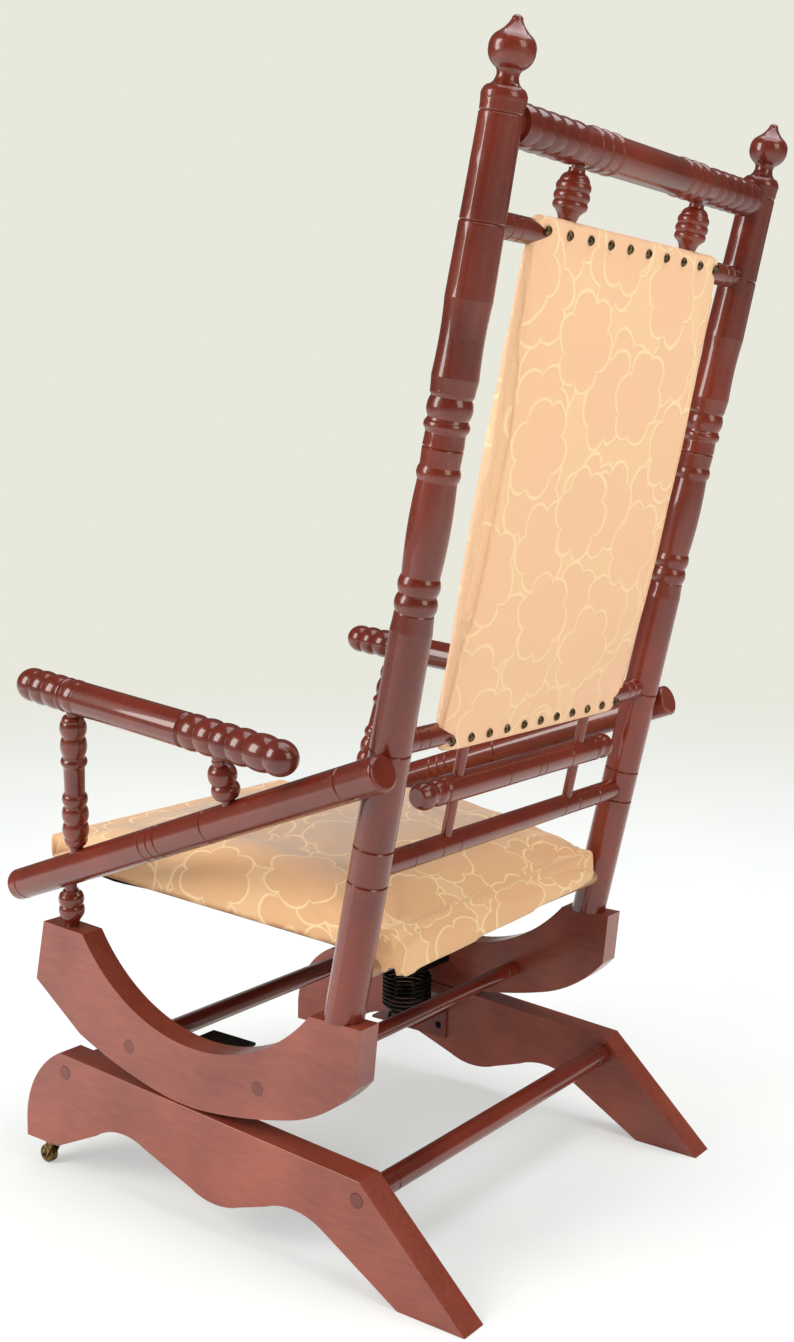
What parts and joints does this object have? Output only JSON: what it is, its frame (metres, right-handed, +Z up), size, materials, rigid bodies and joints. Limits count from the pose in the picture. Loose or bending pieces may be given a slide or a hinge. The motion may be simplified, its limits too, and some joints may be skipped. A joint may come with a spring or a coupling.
{
  "type": "platform rocking chair",
  "caption": "Turned-wood platform rocker: chair on crescent rockers that roll on a sprung base, with cloth seat and back pads.",
  "frame": {"origin": "middle of the outer box, at floor level", "axes": "+Z up, -Y the way the sitter faces, +X the sitter's left"},
  "size_m": [0.5767, 0.6248, 1.0798],
  "materials": {
    "stained_wood": "gloss",
    "plain_wood": "satin",
    "upholstery": "matte",
    "webbing": "matte",
    "nail_brass": "satin",
    "iron": "satin",
    "caster_brass": "satin"
  },
  "bodies": {
    "base": {"base_rail_left": "stained_wood", "base_rail_right": "stained_wood", "base_stretcher_front": "stained_wood", "base_stretcher_rear": "stained_wood", "spring_bracket_lower_left": "iron", "spring_bracket_lower_right": "iron", "spring_coil_left": "iron", "spring_coil_right": "iron", "spring_screws_lower": "iron", "caster_sockets": "caster_brass"},
    "brace": {"seat_brace": "plain_wood"},
    "fork_left": {"caster_fork_left": "caster_brass", "caster_axle_left": "iron"},
    "wheel_left": {"caster_wheel_left": "caster_brass"},
    "fork_right": {"caster_fork_right": "caster_brass", "caster_axle_right": "iron"},
    "wheel_right": {"caster_wheel_right": "caster_brass"},
    "chair": {"arm_post_left": "stained_wood", "arm_post_right": "stained_wood", "arm_spindle_left": "stained_wood", "arm_spindle_right": "stained_wood", "armrest_left": "stained_wood", "armrest_right": "stained_wood", "back_nails_lower": "nail_brass", "back_nails_upper": "nail_brass", "back_pad": "upholstery", "back_post_left": "stained_wood", "back_post_right": "stained_wood", "bobbin_rail": "stained_wood", "bobbin_stick_left": "stained_wood", "bobbin_stick_right": "stained_wood", "cross_rail_lower": "stained_wood", "horn_post_left": "stained_wood", "horn_post_right": "stained_wood", "pad_rail_lower": "stained_wood", "pad_rail_upper": "stained_wood", "rocker_left": "stained_wood", "rocker_right": "stained_wood", "rocker_stretcher_front": "stained_wood", "rocker_stretcher_rear": "stained_wood", "seat_bearer_front": "plain_wood", "seat_bearer_rear": "plain_wood", "seat_cushion": "upholstery", "seat_frame_left": "plain_wood", "seat_frame_right": "plain_wood", "seat_slat_front": "plain_wood", "seat_slat_rear": "plain_wood", "seat_webbing": "webbing", "side_rail_left": "stained_wood", "side_rail_pegs": "plain_wood", "side_rail_right": "stained_wood", "spring_bracket_upper_left": "iron", "spring_bracket_upper_right": "iron", "spring_screws_upper": "iron", "top_rail": "stained_wood", "top_spindle_left": "stained_wood", "top_spindle_right": "stained_wood"}
  },
  "joints": [
    {"name": "rock_travel", "type": "slide", "parent": "base", "child": "brace", "axis": [0, 0.998, -0.0635], "range_m": [-0.026, 0.033]},
    {"name": "rocking", "type": "hinge", "parent": "brace", "child": "chair", "pos_m": [0, -0.05237, 0.32128], "axis": [-1, 0, 0], "range_deg": [-7, 9], "stiffness_Nm_per_rad": 160, "springref_deg": -3.29, "deforming": ["spring_coil_left", "spring_coil_right"]},
    {"name": "caster_swivel_left", "type": "hinge", "parent": "base", "child": "fork_left", "pos_m": [0.223, -0.262, 0.03], "axis": [0, 0, 1], "continuous": true},
    {"name": "caster_roll_left", "type": "hinge", "parent": "fork_left", "child": "wheel_left", "pos_m": [0.223, -0.271, 0.0095], "axis": [1, 0, 0], "continuous": true},
    {"name": "caster_swivel_right", "type": "hinge", "parent": "base", "child": "fork_right", "pos_m": [-0.223, -0.262, 0.03], "axis": [0, 0, 1], "continuous": true},
    {"name": "caster_roll_right", "type": "hinge", "parent": "fork_right", "child": "wheel_right", "pos_m": [-0.223, -0.271, 0.0095], "axis": [1, 0, 0], "continuous": true}
  ],
  "couplings": [
    {"joint": "rock_travel", "follows": "rocking", "m_per_rad": 0.199}
  ]
}
